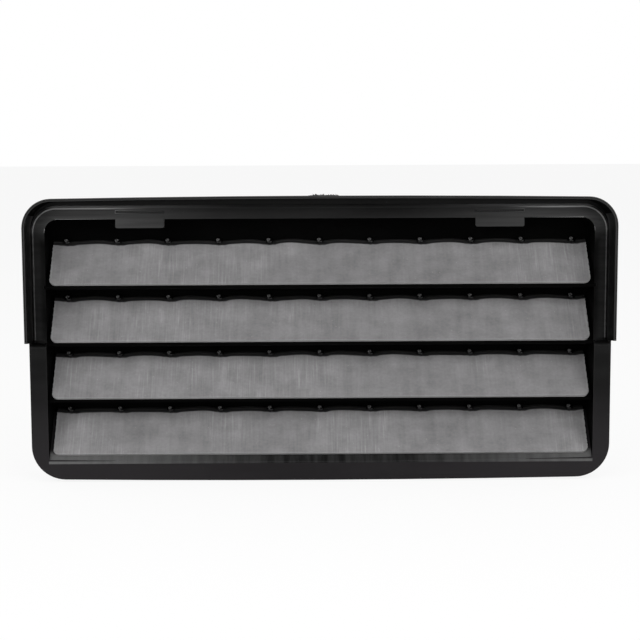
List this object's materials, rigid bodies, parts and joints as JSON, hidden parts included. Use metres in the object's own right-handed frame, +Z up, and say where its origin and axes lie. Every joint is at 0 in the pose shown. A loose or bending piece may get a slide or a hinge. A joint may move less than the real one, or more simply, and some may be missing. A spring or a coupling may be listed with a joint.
{
  "type": "vehicle body air vent",
  "caption": "Flanged louvre housing for a vehicle's rear panel, with rubber flaps hung on pins that swing outwards to let cabin air out and fall shut.",
  "frame": {"origin": "centre of the outline in the mounting plane, where the flange's rim meets the body panel", "axes": "+X to the right seen from outside, +Y through the panel into the body, +Z up"},
  "size_m": [0.3, 0.0445, 0.1484],
  "materials": {
    "black_plastic": "satin moulded black plastic",
    "flap_rubber": "matte grey rubber sheet with fine streaks",
    "seal_foam": "dark closed-cell foam"
  },
  "bodies": {
    "housing": {"housing": "black_plastic", "perimeter_seal": "seal_foam"},
    "flap_1": {"flap_1": "flap_rubber"},
    "flap_2": {"flap_2": "flap_rubber"},
    "flap_3": {"flap_3": "flap_rubber"},
    "flap_4": {"flap_4": "flap_rubber"}
  },
  "joints": [
    {"name": "flap_1_swing", "type": "hinge", "parent": "housing", "child": "flap_1", "pos_m": [0, 0.0133, 0.048], "axis": [-1, 0, 0], "range_deg": [0, 30]},
    {"name": "flap_2_swing", "type": "hinge", "parent": "housing", "child": "flap_2", "pos_m": [0, 0.0133, 0.0184], "axis": [-1, 0, 0], "range_deg": [0, 30]},
    {"name": "flap_3_swing", "type": "hinge", "parent": "housing", "child": "flap_3", "pos_m": [0, 0.0133, -0.0112], "axis": [-1, 0, 0], "range_deg": [0, 30]},
    {"name": "flap_4_swing", "type": "hinge", "parent": "housing", "child": "flap_4", "pos_m": [0, 0.0133, -0.0408], "axis": [-1, 0, 0], "range_deg": [0, 30]}
  ]
}
